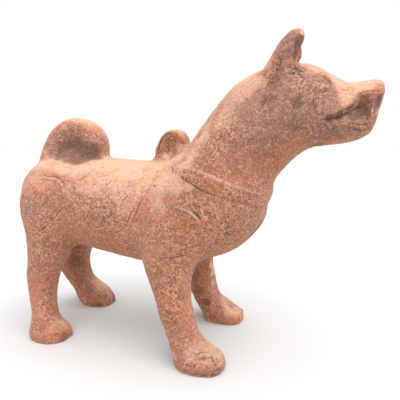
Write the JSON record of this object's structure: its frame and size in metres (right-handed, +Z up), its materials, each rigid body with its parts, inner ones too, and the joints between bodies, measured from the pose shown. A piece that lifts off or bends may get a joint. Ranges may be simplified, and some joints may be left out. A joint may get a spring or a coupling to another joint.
{
  "type": "dog figurine",
  "caption": "Standing clay dog in bare red earthenware, head raised, mouth open, tail curled forward on the rump, with a modelled harness strap and a round lug on the withers.",
  "frame": {"origin": "on the ground, under the middle of the figure's bounding box", "axes": "+X the way the dog faces, +Y its left side, +Z up"},
  "size_m": [0.362, 0.133, 0.2941],
  "materials": {
    "earthenware": "bare low-fired clay, matt, stained with soot"
  },
  "bodies": {
    "root": {"clay_dog": "earthenware"}
  },
  "joints": []
}
